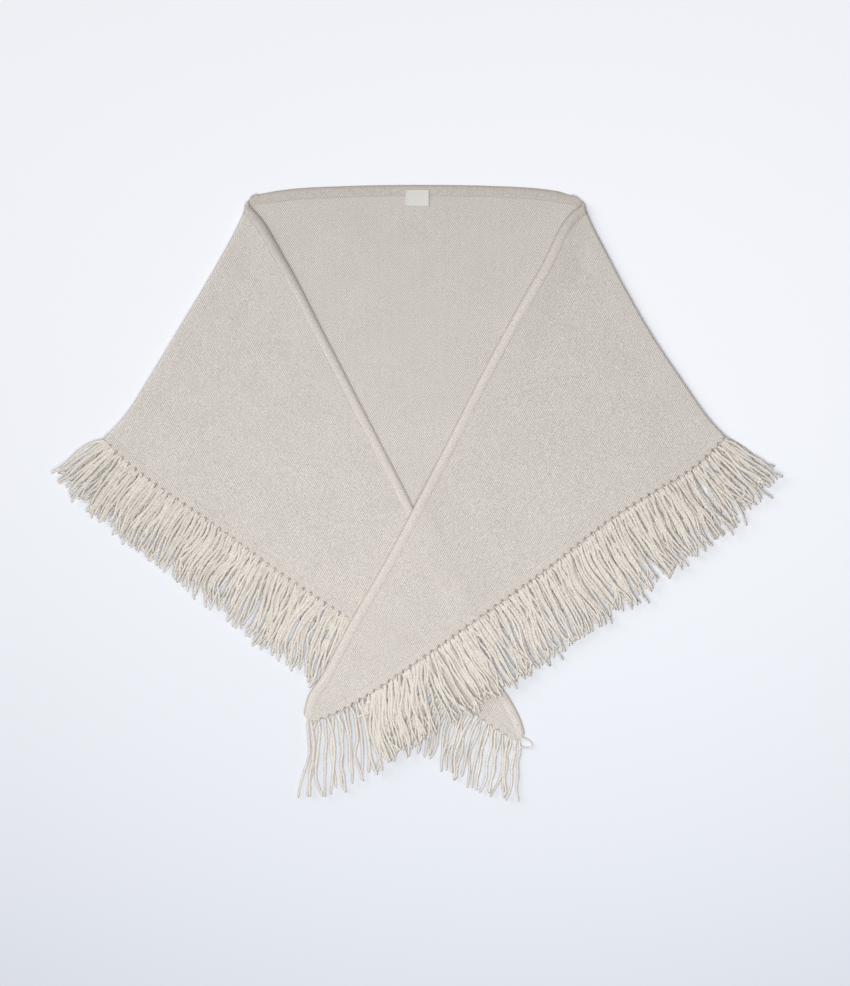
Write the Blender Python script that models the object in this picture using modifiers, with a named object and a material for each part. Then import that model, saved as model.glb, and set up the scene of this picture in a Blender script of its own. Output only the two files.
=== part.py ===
"""Triangle scarf in fine knit, laid flat with both ends folded over the front and crossed.

The middle of the triangle lies on the surface. The left end is folded over it, and the right
end over both. Seen from above, X runs to the right and Y from the fringe up to the neck, with
Z up. The origin is on the surface, under the middle of the scarf's box.
"""

import math
from functools import partial

import bmesh
import bpy
import numpy as np

MM = 0.001

# Cloth
CLOTH = 2.2 * MM                # thickness of the plain knit
BAND = 2.9 * MM                 # thickness of the doubled neck band
HEM_RISE = 0.5 * MM             # how far the hem stands proud of the knit
GAP = 0.3 * MM                  # clearance between pieces that touch
BAND_WIDTH = 10.5 * MM
BACK_BAND_WIDTH = 12 * MM
HEM_WIDTH = 10 * MM

# Folds and layers
FOLD_LIFT = 4.4 * MM            # height of the upper layer's underside at a fold
FOLD_EASE = 0.075               # share of the front over which a fold's height eases off
FOLD_ARC = (-90, -45, 0, 45, 90)    # degrees round a fold where its columns stand
RETURN = 16 * MM                # how far a front's cloth turns back under its fold
LAYER = CLOTH + GAP             # what one layer adds to the height
DRAPE = 60 * MM                 # width over which a layer eases down past an edge below it
HALO = 14 * MM                  # half the width over which a band or hem below lifts the cloth

# Fringe
KNOT_PITCH = 9.3 * MM
STRIP_WIDTH = 3 * MM            # strip that the roots of a fringe are fused into
STRAND = 1.9 * MM               # height of a lock
LOCK_WIDTH = 5.6 * MM           # two strands side by side
LOCK_SECTIONS = ((0.14, 1.0), (0.42, 1.0), (0.72, 0.9), (1.0, 0.6))   # shares of length and of width
LOCK_CROWN = 0.7                # width of a lock's top as a share of its foot
LOCK_BEND = 0.22                # how strongly a lock bends from square to the hem to the way it lies
FRINGE_REACH = 88 * MM          # how far past a hem its fringe lifts what lies over it
FLOOR_GAP = 0.3 * MM            # clearance between the lowest fringe and the surface
FRINGE_SPAN = (0.002, 0.998)    # shares of a hem between which the strip runs
SWAY = 1.2 * MM                 # how far a lock's end strays
SWAY_TURN = 2.4                 # turn of the sway from one lock to the next

# Label
LABEL_SIZE = (25 * MM, 17.5 * MM)
LABEL_THICK = 0.8 * MM
LABEL_CENTRE = (1.5 * MM, 319.5 * MM)
LABEL_STEP = 4 * MM             # width over which the label steps down from the band to the knit

# Plan lines, x and y in millimetres, each from the neck or a corner towards a tip
TOP_EDGE = ((-165, 325.2), (-131, 329.6), (-77, 332.4), (4, 333.7), (80, 332.6), (134, 329.6), (165, 325.2))
LEFT_NECK = ((-182, 313), (-169, 299.7), (-142.6, 257), (-100.8, 177.1), (-56.2, 90.7), (-3, -13),
             (45, -113), (82.6, -194.4), (103, -223), (114, -245), (118.8, -262))
LEFT_HEM = ((-337, 59.4), (-314.3, 36.7), (-287.3, 15.1), (-227.9, -25.9), (-138.2, -90.7),
            (-70.2, -136.1), (20.5, -202), (81.6, -250.6), (100, -262), (115, -267))
LEFT_FOLD = ((-182, 313), (-187.2, 299.7), (-220.3, 237.6), (-256, 178.2), (-288.4, 124.2),
             (-314.3, 84.2), (-337, 59.4))
RIGHT_NECK = ((181, 313), (170, 305), (133.9, 244.1), (82.1, 151.2), (23.4, 36.7), (-33, -71.3),
              (-69.8, -135), (-101.5, -194.4), (-116.6, -218.9), (-122.3, -241))
RIGHT_HEM = ((333.7, 61.6), (309.7, 36.7), (248, -3.2), (216.9, -22.7), (142.5, -79.9),
             (69.1, -132.8), (6.5, -177.1), (-56.2, -219.2), (-87.8, -236.8), (-105, -243.5),
             (-121, -244.6))
RIGHT_FOLD = ((181, 313), (186, 299.8), (209.5, 252.7), (258.1, 166.3), (293.8, 113.4),
              (313.2, 85.3), (333.7, 61.6))
APEX = (1.1, -116.6)
BACK_LEFT_HEM = (LEFT_HEM[0], APEX)
BACK_RIGHT_HEM = (RIGHT_HEM[0], APEX)

# How the strands lie: share of the hem from its corner, heading in degrees from +X, length in mm
LEFT_STRANDS = ((0.00, 208, 65), (0.05, 232, 64), (0.12, 242, 68), (0.40, 245, 74), (0.60, 250, 80),
                (0.76, 266, 86), (0.92, 270, 80), (1.00, 268, 67))
RIGHT_STRANDS = ((0.00, 328, 70), (0.05, 314, 72), (0.12, 305, 77), (0.30, 297, 84), (0.45, 291, 86),
                 (0.70, 284, 78), (0.86, 280, 80), (0.94, 276, 88), (1.00, 254, 82))
BACK_LEFT_STRANDS = ((0.00, 214, 60), (0.10, 240, 66), (0.60, 247, 74), (1.00, 262, 76))
BACK_RIGHT_STRANDS = ((0.00, 324, 62), (0.10, 306, 70), (0.60, 296, 76), (1.00, 278, 76))

# Share of a front, from its fold to its tip, where each column of its walls stands
FRONT_SHARES = (0.0, 0.014, 0.032, 0.055, 0.08, *np.linspace(0.11, 0.94, 28), 0.96, 0.975)
BAND_TIP_SHARES = (0.99, 1.0)   # columns of a band past the end of its front
# Share of the way from band to hem where each row of a front's plain knit stands
PANEL_ROWS = (0, 0.16, 0.32, 0.48, 0.64, 0.8)
# Share of the hem's width, from the hem's edge, where its rows stand
HEM_ROWS = (1, 0.86, 0)
HEM_MOST = 0.45                 # most of a front's depth that the hem takes up near the tip
# Share of a band's width, and of its thickness there
BAND_ROWS = ((0.0, 0.55), (0.12, 0.95), (0.5, 1.0), (0.88, 0.97), (1.0, 0.82))

PARTS = "triangle_scarf"


def ease(value):
    """Smooth step from 0 to 1."""
    value = np.clip(value, 0, 1)
    return value * value * (3 - 2 * value)


def square_to(way):
    """The direction a quarter turn to the left of a plan direction."""
    return np.stack([-way[..., 1], way[..., 0]], axis=-1)


def unit(way):
    return way / np.linalg.norm(way, axis=-1, keepdims=True)


def at_height(plan, height):
    """Points in space from plan points and their height."""
    height = np.broadcast_to(height, plan.shape[:-1])
    return np.concatenate([plan, height[..., None]], axis=-1)


class Line:
    """A smooth line in plan through a short table of points, read by its share of the length."""

    def __init__(self, table, samples=400):
        knots = np.array(table, dtype=float) * MM
        steps = np.linalg.norm(np.diff(knots, axis=0), axis=1)
        reach = np.concatenate([[0], np.cumsum(steps)])
        slopes = np.gradient(knots, reach, axis=0)
        at = np.linspace(0, reach[-1], samples)
        first = np.clip(np.searchsorted(reach, at, side="right") - 1, 0, len(steps) - 1)
        span = steps[first][:, None]
        t = (at - reach[first])[:, None] / span
        self.points = ((2 * t ** 3 - 3 * t ** 2 + 1) * knots[first]
                       + (t ** 3 - 2 * t ** 2 + t) * span * slopes[first]
                       + (3 * t ** 2 - 2 * t ** 3) * knots[first + 1]
                       + (t ** 3 - t ** 2) * span * slopes[first + 1])
        walked = np.linalg.norm(np.diff(self.points, axis=0), axis=1)
        self.walked = np.concatenate([[0], np.cumsum(walked)])
        self.length = self.walked[-1]
        self.headings = unit(np.gradient(self.points, axis=0))

    def read(self, values, share):
        at = np.asarray(share) * self.length
        return np.stack([np.interp(at, self.walked, values[:, axis]) for axis in (0, 1)], axis=-1)

    def at(self, share):
        return self.read(self.points, share)

    def heading(self, share):
        return unit(self.read(self.headings, share))

    def beyond(self, hand, plan):
        """Distance of plan points past the line, on its left for hand 1 or its right for hand -1."""
        offsets = plan[..., None, :] - self.points
        nearest = np.argmin((offsets ** 2).sum(axis=-1), axis=-1)
        away = plan - self.points[nearest]
        side = (away * square_to(self.headings[nearest])).sum(axis=-1)
        return np.sign(hand * side) * np.linalg.norm(away, axis=-1)


class Side:
    """The plan lines of one half of the scarf, and the hand on which its cloth lies."""

    def __init__(self, hand, neck, hem, fold, back_hem, turn_at_neck):
        self.hand = hand
        self.neck = Line(neck)
        self.hem = Line(hem)
        self.fold = Line(fold)
        self.back_hem = Line(back_hem)
        self.turns = (np.array(turn_at_neck), self.back_hem.heading(0))


LEFT = Side(-1, LEFT_NECK, LEFT_HEM, LEFT_FOLD, BACK_LEFT_HEM, (0.81, 0.59))
RIGHT = Side(1, RIGHT_NECK, RIGHT_HEM, RIGHT_FOLD, BACK_RIGHT_HEM, (-0.81, 0.59))
TOP = Line(TOP_EDGE)


def fade(distance):
    """1 up to an edge, easing to 0 over the width of the drape past it."""
    return 1 - ease(distance / DRAPE)


def over_back(plan):
    """1 over the back panel and its fringe."""
    past_left = LEFT.back_hem.beyond(LEFT.hand, plan)
    past_right = RIGHT.back_hem.beyond(RIGHT.hand, plan)
    return fade(np.maximum(past_left, past_right) - FRINGE_REACH)


def over_left(plan):
    """1 over the left front and its fringe."""
    past_neck = -LEFT.neck.beyond(LEFT.hand, plan)
    past_hem = LEFT.hem.beyond(LEFT.hand, plan) - FRINGE_REACH
    return fade(past_neck) * fade(past_hem)


def under_left(plan):
    """Height of the left front's underside where it lies flat."""
    return LAYER * over_back(plan)


def under_right(plan):
    """Height of the right front's underside where it lies flat."""
    from_band = np.abs(LEFT.neck.beyond(LEFT.hand, plan)) - HALO
    from_hem = np.abs(LEFT.hem.beyond(LEFT.hand, plan)) - HALO
    proud = np.maximum((BAND - CLOTH) * fade(from_band), HEM_RISE * fade(from_hem))
    return LAYER * (over_back(plan) + over_left(plan)) + proud


def front_under(under, plan, share):
    """Height of a front's underside, lifted near its fold."""
    flat = under(plan)
    return flat + (FOLD_LIFT - flat) * (1 - ease(share / FOLD_EASE))


def into_cloth(side, shares):
    """Plan step into the cloth for each unit of width, along the fold at first and then square."""
    square = side.hand * square_to(side.neck.heading(shares))
    blend = ease(shares / FOLD_EASE)[:, None]
    way = unit((1 - blend) * side.fold.heading(0) + blend * square)
    return way / (way * square).sum(axis=-1, keepdims=True)


def band_plan(side, shares):
    """Plan points of a front's band, columns by rows."""
    widths = np.array([row[0] for row in BAND_ROWS]) * BAND_WIDTH
    steps = into_cloth(side, shares)[:, None, :] * widths[None, :, None]
    return side.neck.at(shares)[:, None, :] + steps


def panel_plan(side, shares):
    """Plan points of a front's knit from its band to its hem, with the fold's curve at the start."""
    near = side.neck.at(shares) + (BAND_WIDTH + GAP) * into_cloth(side, shares)
    far = side.hem.at(shares)
    reach = np.linalg.norm(far - near, axis=-1)
    hem = np.minimum(HEM_WIDTH / reach, HEM_MOST)[:, None]
    knit = np.array(PANEL_ROWS) * (1 - hem)
    rows = np.concatenate([knit, 1 - hem * np.array(HEM_ROWS)], axis=1)
    plan = near[:, None, :] + (far - near)[:, None, :] * rows[..., None]
    first = np.linalg.norm(near[0] - side.fold.at(0)) / side.fold.length
    bow = side.fold.at(first + (1 - first) * rows[0]) - plan[0]
    return plan + bow[None, :, :] * ((1 - shares) ** 3)[:, None, None]


def with_fold(side, plan, shares, under, thick):
    """Inner points of a front: the return under the fold, the roll, and then the upper layer."""
    edge = plan[0]
    down = np.linalg.norm(edge - side.fold.at(0), axis=-1)[:, None] / side.fold.length
    back = unit((1 - down) * side.turns[0] + down * side.turns[1])
    front = unit(plan[1] - plan[0])
    radius = (FOLD_LIFT - thick) / 2
    turned = [at_height(edge + back * RETURN, thick)]
    for degrees in FOLD_ARC:
        turn = math.radians(degrees)
        way = unit((1 - math.sin(turn)) * back + (1 + math.sin(turn)) * front)
        inward = thick + radius * (1 - math.cos(turn))
        height = thick + radius * (1 + math.sin(turn))
        turned.append(at_height(edge + way * inward, height))
    heights = front_under(under, plan[1:], shares[1:, None])
    return np.concatenate([np.array(turned), at_height(plan[1:], heights)])


def material(name, colour, roughness):
    made = bpy.data.materials.new(name)
    made.use_nodes = True
    shader = made.node_tree.nodes["Principled BSDF"]
    shader.inputs["Base Color"].default_value = (*colour, 1)
    shader.inputs["Roughness"].default_value = roughness
    shader.inputs["Metallic"].default_value = 0
    return made


def cloth(name, inner, thickness, finish, collection):
    """A wall of cloth: an open surface through the inner points, thickened outwards by Solidify."""
    bm = bmesh.new()
    grid = [[bm.verts.new(point) for point in column] for column in inner]
    for column, beside in zip(grid, grid[1:]):
        for row in range(len(column) - 1):
            bm.faces.new((column[row], beside[row], beside[row + 1], column[row + 1]))
    bm.normal_update()
    if bm.faces[:][-1].normal.z < 0:
        bmesh.ops.reverse_faces(bm, faces=bm.faces[:])
    mesh = bpy.data.meshes.new(name)
    bm.to_mesh(mesh)
    bm.free()
    mesh.materials.append(finish)
    made = bpy.data.objects.new(name, mesh)
    collection.objects.link(made)
    full = float(thickness.max())
    group = made.vertex_groups.new(name="thickness")
    for index, thick in enumerate(thickness.ravel()):
        group.add([index], float(thick) / full, "REPLACE")
    wall = made.modifiers.new("wall", "SOLIDIFY")
    wall.thickness = full
    wall.offset = 1
    wall.vertex_group = group.name
    mesh.shade_smooth()
    return made


def front(name, side, under, finish, collection):
    """A folded-over front: its plain knit with the raised hem, and the band along its neck edge."""
    shares = np.array(FRONT_SHARES)
    plan = panel_plan(side, shares)
    inner = with_fold(side, plan, shares, under, CLOTH)
    rise = np.array([0] * (len(PANEL_ROWS) + 1) + [1, 0.4])
    upper = len(inner) - len(shares) + 1
    raised = np.clip(np.arange(len(inner)) - upper, 0, 1)
    thickness = CLOTH + HEM_RISE * raised[:, None] * rise[None, :]
    cloth(name, inner, thickness, finish, collection)

    shares = np.concatenate([shares, BAND_TIP_SHARES])
    inner = with_fold(side, band_plan(side, shares), shares, under, BAND)
    rounding = np.array([row[1] for row in BAND_ROWS])
    cloth(name + "_band", inner, BAND * np.tile(rounding, (len(inner), 1)), finish, collection)


def return_end(side, down):
    """Plan points where a front's return ends, with the gap to the next piece."""
    down = np.asarray(down)[:, None]
    back = unit((1 - down) * side.turns[0] + down * side.turns[1])
    return side.fold.at(down[:, 0]) + back * (RETURN + GAP)


def band_end(side):
    """Share of the fold line that the band covers."""
    step = into_cloth(side, np.zeros(1))[0] * BAND_WIDTH
    return np.linalg.norm(step) / side.fold.length


def back_band(finish, collection):
    """The doubled band behind the neck, between the returns of the two front bands."""
    along = np.linspace(0, 1, 25)
    outer = TOP.at(along)
    inner = outer - square_to(TOP.heading(along)) * BACK_BAND_WIDTH
    for end, side in ((0, LEFT), (-1, RIGHT)):
        ends = return_end(side, (0, band_end(side)))
        outer[end] = ends[0]
        inner[end] = ends[1]
    widths, rounding = np.array(BAND_ROWS).T
    plan = outer[:, None, :] + (inner - outer)[:, None, :] * widths[None, :, None]
    thickness = BAND * np.tile(rounding, (len(along), 1))
    cloth("back_neck_band", at_height(plan, 0), thickness, finish, collection)
    return inner


def back_panel(band_edge, finish, collection):
    """The flat middle of the triangle, as a filled outline with half its thickness extruded."""
    down = np.linspace(band_end(LEFT) + GAP / LEFT.fold.length, 1, 9)
    left_end = return_end(LEFT, down)
    right_end = return_end(RIGHT, down)
    top = band_edge[1:-1] - np.array([0, GAP])
    outline = np.concatenate([top, right_end, [np.array(APEX) * MM], left_end[::-1]])
    curve = bpy.data.curves.new("back_panel", "CURVE")
    curve.dimensions = "2D"
    curve.fill_mode = "BOTH"
    curve.extrude = CLOTH / 2
    spline = curve.splines.new("POLY")
    spline.points.add(len(outline) - 1)
    for point, (x, y) in zip(spline.points, outline):
        point.co = (x, y, 0, 1)
    spline.use_cyclic_u = True
    curve.materials.append(finish)
    made = bpy.data.objects.new("back_panel", curve)
    made.location.z = CLOTH / 2
    collection.objects.link(made)


def neck_label(finish, collection):
    """A bare label over the back neck seam, bent down from the band to the knit."""
    across = np.linspace(-0.5, 0.5, 3) * LABEL_SIZE[0] + LABEL_CENTRE[0]
    down = np.linspace(-0.5, 0.5, 7) * LABEL_SIZE[1] + LABEL_CENTRE[1]
    x, y = np.meshgrid(across, down, indexing="ij")
    seam = TOP.at(0.5)[1] - BACK_BAND_WIDTH
    on_band = ease(1 + (y - seam) / LABEL_STEP)
    height = CLOTH + (BAND - CLOTH) * on_band + GAP
    cloth("neck_label", np.dstack([x, y, height]), np.full(x.shape, LABEL_THICK), finish, collection)


def strip(bm, inner, outer, base):
    """The strip along a hem, one length of it for each knot. Returns the outer face of each length."""
    corners = ((inner, 0), (outer, 0), (outer, STRAND), (inner, STRAND))
    rings = [[bm.verts.new((*line[k], base[k] + up)) for line, up in corners] for k in range(len(base))]
    roots = []
    for ring, beside in zip(rings, rings[1:]):
        for low, high in ((0, 1), (2, 3), (3, 0)):
            bm.faces.new((ring[low], beside[low], beside[high], ring[high]))
        roots.append(bm.faces.new((ring[1], beside[1], beside[2], ring[2])))
    bm.faces.new(rings[0])
    bm.faces.new(rings[-1][::-1])
    return roots


def grow(bm, face, section):
    """Extrude a face by itself and move its corners, in their order, to a section's points."""
    before = [tuple(vert.co) for vert in face.verts]
    face = bmesh.ops.extrude_discrete_faces(bm, faces=[face])["faces"][0]
    corners = {tuple(vert.co): vert for vert in face.verts}
    for place, point in zip(before, section):
        corners[place].co = point
    return face


def lock(bm, root, start, leaves, lies, length, sway, along, lift, ground):
    """A lock that leaves the strip squarely, turns the way it lies, and settles on what is below."""
    across = square_to(lies)
    across = across * np.sign((across * along).sum())
    face = root
    for step, width in LOCK_SECTIONS:
        bend = LOCK_BEND * step * (1 - step) * (leaves - lies)
        centre = start + length * (step * lies + bend) + across * sway * step
        low = max(float(ground(centre)), FLOOR_GAP) + lift * (1 - step) ** 2
        half = across * LOCK_WIDTH * width / 2
        corners = ((-1, 0), (1, 0), (LOCK_CROWN, STRAND), (-LOCK_CROWN, STRAND))
        face = grow(bm, face, [(*(centre + aside * half), low + up) for aside, up in corners])


def fringe(name, side, line, under, ground, strands, finish, collection):
    """The fringe of one hem: locks grown out of the faces of a strip that lies just outside it."""
    first, last = FRINGE_SPAN
    count = round((last - first) * line.length / KNOT_PITCH)
    shares = np.linspace(first, last, count + 1)
    outward = side.hand * square_to(line.heading(shares))
    inner = line.at(shares) + outward * GAP
    outer = inner + outward * STRIP_WIDTH
    base = np.maximum(under(line.at(shares), shares), FLOOR_GAP)
    bm = bmesh.new()
    roots = strip(bm, inner, outer, base)
    places, headings, lengths = np.array(strands).T
    for k, root in enumerate(roots):
        share = (shares[k] + shares[k + 1]) / 2
        heading = math.radians(np.interp(share, places, headings))
        length = np.interp(share, places, lengths) * MM
        lies = np.array([math.cos(heading), math.sin(heading)])
        leaves = unit(outward[k] + outward[k + 1])
        start = (outer[k] + outer[k + 1]) / 2
        lift = (base[k] + base[k + 1]) / 2 - max(float(ground(start)), FLOOR_GAP)
        sway = SWAY * math.sin(SWAY_TURN * k)
        lock(bm, root, start, leaves, lies, length, sway, outer[k + 1] - outer[k], lift, ground)
    bmesh.ops.recalc_face_normals(bm, faces=bm.faces[:])
    mesh = bpy.data.meshes.new(name)
    bm.to_mesh(mesh)
    bm.free()
    mesh.materials.append(finish)
    collection.objects.link(bpy.data.objects.new(name, mesh))


def on_floor(plan, share=None):
    """Height of what lies straight on the surface."""
    return np.zeros(np.shape(plan)[:-1])


def build():
    for thing in list(bpy.data.objects):
        bpy.data.objects.remove(thing, do_unlink=True)
    parts = bpy.data.collections.new(PARTS)
    bpy.context.scene.collection.children.link(parts)
    knit = {name: material(name + "_knit", colour, 0.95) for name, colour in (
        ("back", (0.60, 0.56, 0.51)), ("left", (0.64, 0.59, 0.54)), ("right", (0.60, 0.55, 0.50)))}
    yarn = material("fringe_yarn", (0.72, 0.68, 0.60), 0.95)
    tape = material("label_tape", (0.66, 0.65, 0.60), 0.8)

    edge = back_band(knit["back"], parts)
    back_panel(edge, knit["back"], parts)
    front("left_front", LEFT, under_left, knit["left"], parts)
    front("right_front", RIGHT, under_right, knit["right"], parts)
    neck_label(tape, parts)
    for name, side, under, strands in (("left_front_fringe", LEFT, under_left, LEFT_STRANDS),
                                       ("right_front_fringe", RIGHT, under_right, RIGHT_STRANDS)):
        fringe(name, side, side.hem, partial(front_under, under), under, strands, yarn, parts)
    for name, side, strands in (("back_left_fringe", LEFT, BACK_LEFT_STRANDS),
                                ("back_right_fringe", RIGHT, BACK_RIGHT_STRANDS)):
        fringe(name, side, side.back_hem, on_floor, on_floor, strands, yarn, parts)


build()
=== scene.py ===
"""Looks for a triangle scarf in fine knit, laid flat with both ends folded over the front.

Every visible piece is a surface worked out with numpy on top of the plan lines below: the knit of
the back and of the two fronts, their doubled neck bands, their scalloped hems, the linking
stitches along each seam, the bare neck label and the fringe of two-ply yarn. X runs to the right,
Y from the fringe up to the neck, and Z up from the surface that the scarf lies on.
"""

from math import atan2, hypot, pi, radians, tau

import bpy
import numpy as np
from bpy.props import FloatProperty, FloatVectorProperty, IntProperty, PointerProperty
from bpy.types import Operator, Panel, PropertyGroup
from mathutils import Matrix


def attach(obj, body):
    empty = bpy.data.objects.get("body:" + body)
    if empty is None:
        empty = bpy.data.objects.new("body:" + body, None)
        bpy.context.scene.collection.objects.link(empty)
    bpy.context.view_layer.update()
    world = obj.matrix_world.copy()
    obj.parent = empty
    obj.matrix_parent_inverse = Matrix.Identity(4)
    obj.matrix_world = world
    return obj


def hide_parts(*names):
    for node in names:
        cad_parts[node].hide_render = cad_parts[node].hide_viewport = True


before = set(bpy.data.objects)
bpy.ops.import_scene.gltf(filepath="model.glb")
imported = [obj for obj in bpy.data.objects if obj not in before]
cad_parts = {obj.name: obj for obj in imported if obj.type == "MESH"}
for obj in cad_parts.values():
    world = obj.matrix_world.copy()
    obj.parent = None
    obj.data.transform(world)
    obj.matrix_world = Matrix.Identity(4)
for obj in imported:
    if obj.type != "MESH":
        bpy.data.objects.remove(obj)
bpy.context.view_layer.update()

bl_info = {
    "name": "Triangle Scarf",
    "version": (1, 0, 0),
    "blender": (4, 5, 0),
    "location": "View3D > Sidebar > Scarf",
    "description": "Builds a laid and crossed triangle scarf, its fringe and its stage",
    "category": "Add Mesh",
}

MM = 0.001
UP = np.array([0, 0, 1.0])

# Plan lines, x and y in millimetres, each from the neck or a corner towards a tip
TOP_EDGE = ((-165, 325.2), (-131, 329.6), (-77, 332.4), (4, 333.7), (80, 332.6), (134, 329.6), (165, 325.2))
LEFT_NECK = ((-182, 313), (-169, 299.7), (-142.6, 257), (-100.8, 177.1), (-56.2, 90.7), (-3, -13),
             (45, -113), (82.6, -194.4), (103, -223), (114, -245), (118.8, -262))
LEFT_HEM = ((-337, 59.4), (-314.3, 36.7), (-287.3, 15.1), (-227.9, -25.9), (-138.2, -90.7),
            (-70.2, -136.1), (20.5, -202), (81.6, -250.6), (100, -262), (115, -267))
LEFT_FOLD = ((-182, 313), (-187.2, 299.7), (-220.3, 237.6), (-256, 178.2), (-288.4, 124.2),
             (-314.3, 84.2), (-337, 59.4))
RIGHT_NECK = ((181, 313), (170, 305), (133.9, 244.1), (82.1, 151.2), (23.4, 36.7), (-33, -71.3),
              (-69.8, -135), (-101.5, -194.4), (-116.6, -218.9), (-122.3, -241))
RIGHT_HEM = ((333.7, 61.6), (309.7, 36.7), (248, -3.2), (216.9, -22.7), (142.5, -79.9),
             (69.1, -132.8), (6.5, -177.1), (-56.2, -219.2), (-87.8, -236.8), (-105, -243.5),
             (-121, -244.6))
RIGHT_FOLD = ((181, 313), (186, 299.8), (209.5, 252.7), (258.1, 166.3), (293.8, 113.4),
              (313.2, 85.3), (333.7, 61.6))
APEX = (1.1, -116.6)

# How the strands lie: share of the hem from its corner, heading in degrees from +X, length in mm
LEFT_STRANDS = ((0.00, 208, 65), (0.05, 232, 64), (0.12, 242, 68), (0.40, 245, 74), (0.60, 249, 80),
                (0.76, 252, 78), (0.92, 258, 72), (1.00, 266, 60))
RIGHT_STRANDS = ((0.00, 328, 70), (0.05, 314, 72), (0.12, 305, 77), (0.30, 300, 84), (0.45, 299, 82),
                 (0.60, 299, 77), (0.712, 305, 76), (0.735, 280, 78), (0.86, 279, 80), (0.94, 272, 88),
                 (1.00, 263, 80))
BACK_LEFT_STRANDS = ((0.00, 214, 60), (0.10, 240, 66), (0.60, 247, 74), (1.00, 262, 76))
BACK_RIGHT_STRANDS = ((0.00, 324, 62), (0.10, 306, 70), (0.60, 296, 76), (1.00, 278, 76))

# A yarn's loop left standing at the left tip: x, y and height of its middle line in millimetres
TIP_LOOP = ((112, -262.5, 2.4), (117.5, -264, 2.2), (122.8, -266.8, 1.6), (125.2, -270.2, 1.4),
            (123.4, -273.2, 1.4), (118.8, -274, 1.5), (112.5, -272.6, 2.0))

# How the cloth turns under at a fold, and where a front and its band end
FOLD_EASE = 0.075               # share of the front over which a fold's height eases off
FRONT_END = 0.975               # share of its neck line at which a front's knit ends
FIRST_SHARE = 0.0075            # share at which a front's upper layer starts, past the fold's turn
RETURN_STEPS = tuple(step / 10 for step in range(10, 0, -1))    # where the return's columns stand
ARC_DEGREES = tuple(range(-90, 91, 15))     # degrees round a fold where its columns stand
TURNED = len(RETURN_STEPS) + len(ARC_DEGREES)
LYING = len(RETURN_STEPS) + 2               # of those, the columns whose outer side faces down
ROUNDING = ((0, 0.2, 0.4, 0.6, 0.8, 1), (0.5, 0.82, 1.0, 0.86, 0.47, 0))    # a shoulder's, by return
LEVEL = 18 * MM                 # distance from a seam over which the cloth's unevenness dies away
CLOSING = (0.35, 0.7, 1.0)      # steps from a front's last column to the inner border of its band
CURL_SHARES = (0.05, 0.45)      # shares of the neck line between which its curl dies away
SEAM = 0.02 * MM                # what parts two surfaces that meet
FINE = 5                        # columns of a band in each wale


def number(name, about, value, **kind):
    """A number that a user may change."""
    return FloatProperty(name=name, description=about, default=value, min=0, **kind)


def size(name, about, millimetres):
    """A length that a user may change."""
    return number(name, about, millimetres * MM, unit="LENGTH", precision=5)


def angle(name, about, degrees):
    """An angle that a user may change."""
    return number(name, about, radians(degrees), subtype="ANGLE")


def share(name, about, value):
    """A number from 0 to 1 that a user may change."""
    return number(name, about, value, max=1, subtype="FACTOR")


def tint(name, about, value):
    """A colour that a user may change."""
    return FloatVectorProperty(name=name, description=about, default=value, min=0, max=1, subtype="COLOR")


class ScarfCloth(PropertyGroup):
    """Sizes of the knit, its bands and its hems."""

    knit: size("Knit", "Thickness of the plain knit", 2.2)
    band: size("Band", "Thickness of the doubled neck band", 2.9)
    gap: size("Clearance", "Clearance between layers that touch", 0.3)
    band_width: size("Band width", "Width of the band down a front", 10.5)
    back_band_width: size("Back band width", "Width of the band behind the neck", 12)
    hem_width: size("Hem width", "Width of the turned hem", 10)
    hem_rise: size("Hem rise", "How far the hem stands proud of the knit", 0.5)
    fold_lift: size("Fold lift", "Height of the upper layer's underside at a fold", 4.4)
    turn_under: size("Turn under", "How far the cloth turns back under a fold", 16)
    drape: size("Drape", "Width over which a layer eases down past an edge below it", 55)
    halo: size("Halo", "Half the width over which a band or hem below lifts the cloth", 9)
    wale: size("Wale", "Width of one column of stitches", 2.3)
    course: size("Course", "Height of one row of stitches", 1.9)
    relief: size("Relief", "Depth of the stitches", 0.5)
    heather: share("Heather", "How uneven the fibre's tone is", 1.0)
    rib: size("Rib", "Height of the ribs across a band", 0.14)
    rib_share: share("Rib contrast", "Depth of a band's ribs as a share of the stitches' depth", 0.6)
    # shade: strength of the painted shade along a band's free border
    shade: share("Border shade", "How far a band darkens along its free border", 0.5)
    curl: size("Curl", "How far the neck edge stands up near the shoulder", 4.5)
    curl_width: size("Curl width", "Distance from the neck edge over which its curl lies down", 45)
    ripple: size("Ripple", "Height of the soft unevenness of the laid cloth", 0.35)
    grain: size("Grid", "Spacing of the points of the knit's surface", 3.4)
    scallop: size("Scallop", "How far the hem stands out at a knot", 1.2)
    notch: size("Notch", "How far the hem draws in between two knots", 1.1)
    puff: size("Puff", "How far the hem stands up at a knot", 0.4)
    slack: size("Slack", "How much thinner the hem's edge is between two knots", 0.6)


class ScarfYarn(PropertyGroup):
    """Sizes of the fringe."""

    pitch: size("Knots", "Distance from one knot to the next along the hem", 9.3)
    thick: size("Yarn", "Thickness of a strand", 3.5)
    twist: size("Twist", "Length over which the two plies turn once round each other", 11)
    root: size("Root", "How far inside the hem's edge a strand starts", 4.5)
    lean: angle("Lean", "How far locks of strands lean out of line", 1.7)
    wave: angle("Wave", "How far a strand's heading waves", 7.5)
    curl: angle("Curl", "How far the last quarter of a strand turns aside", 13)
    pile: size("Pile", "How high the upper strands lie over the lower ones", 0.95)
    lift: size("Lift", "How high a strand's cut end stands up", 3.6)
    seed: IntProperty(name="Seed", description="Start of the strands' random numbers", default=11, min=0)


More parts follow.
